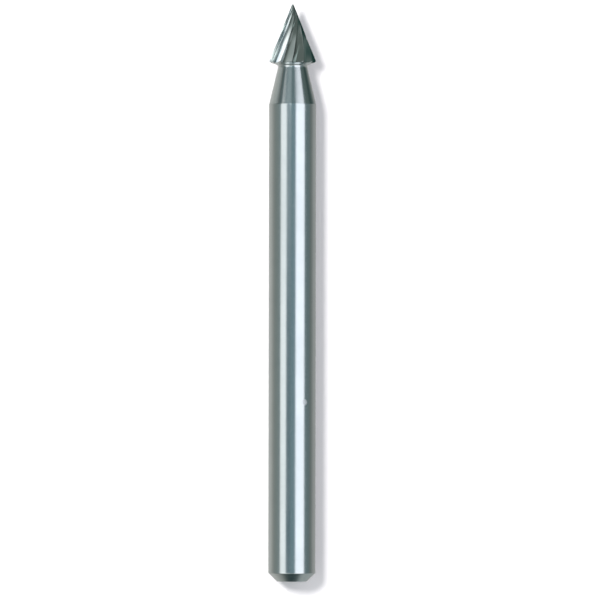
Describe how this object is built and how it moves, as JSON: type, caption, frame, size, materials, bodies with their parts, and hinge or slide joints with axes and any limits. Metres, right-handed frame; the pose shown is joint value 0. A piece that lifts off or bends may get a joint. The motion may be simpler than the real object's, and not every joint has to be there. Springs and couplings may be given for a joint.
{
  "type": "rotary burr",
  "caption": "Rotary burr: a plain round shank tapers to a thin neck and a pointed cone head cut with right-hand spiral teeth, for shaping metal, wood or plastic",
  "frame": {"origin": "on the surface that the burr lies on, under the axis and the middle of the overall length", "axes": "+Y runs along the tool's axis from the shank end to the point, +Z is up from the surface it lies on, X is across; the picture looks down along -Z with +Y up in the picture"},
  "size_m": [0.0032, 0.039, 0.0032],
  "materials": {
    "tool_steel": "bare tool steel, finely ground and polished round the axis; darker, sharper ground facets on the toothed head"
  },
  "bodies": {
    "root": {"burr": "tool_steel"}
  },
  "joints": []
}
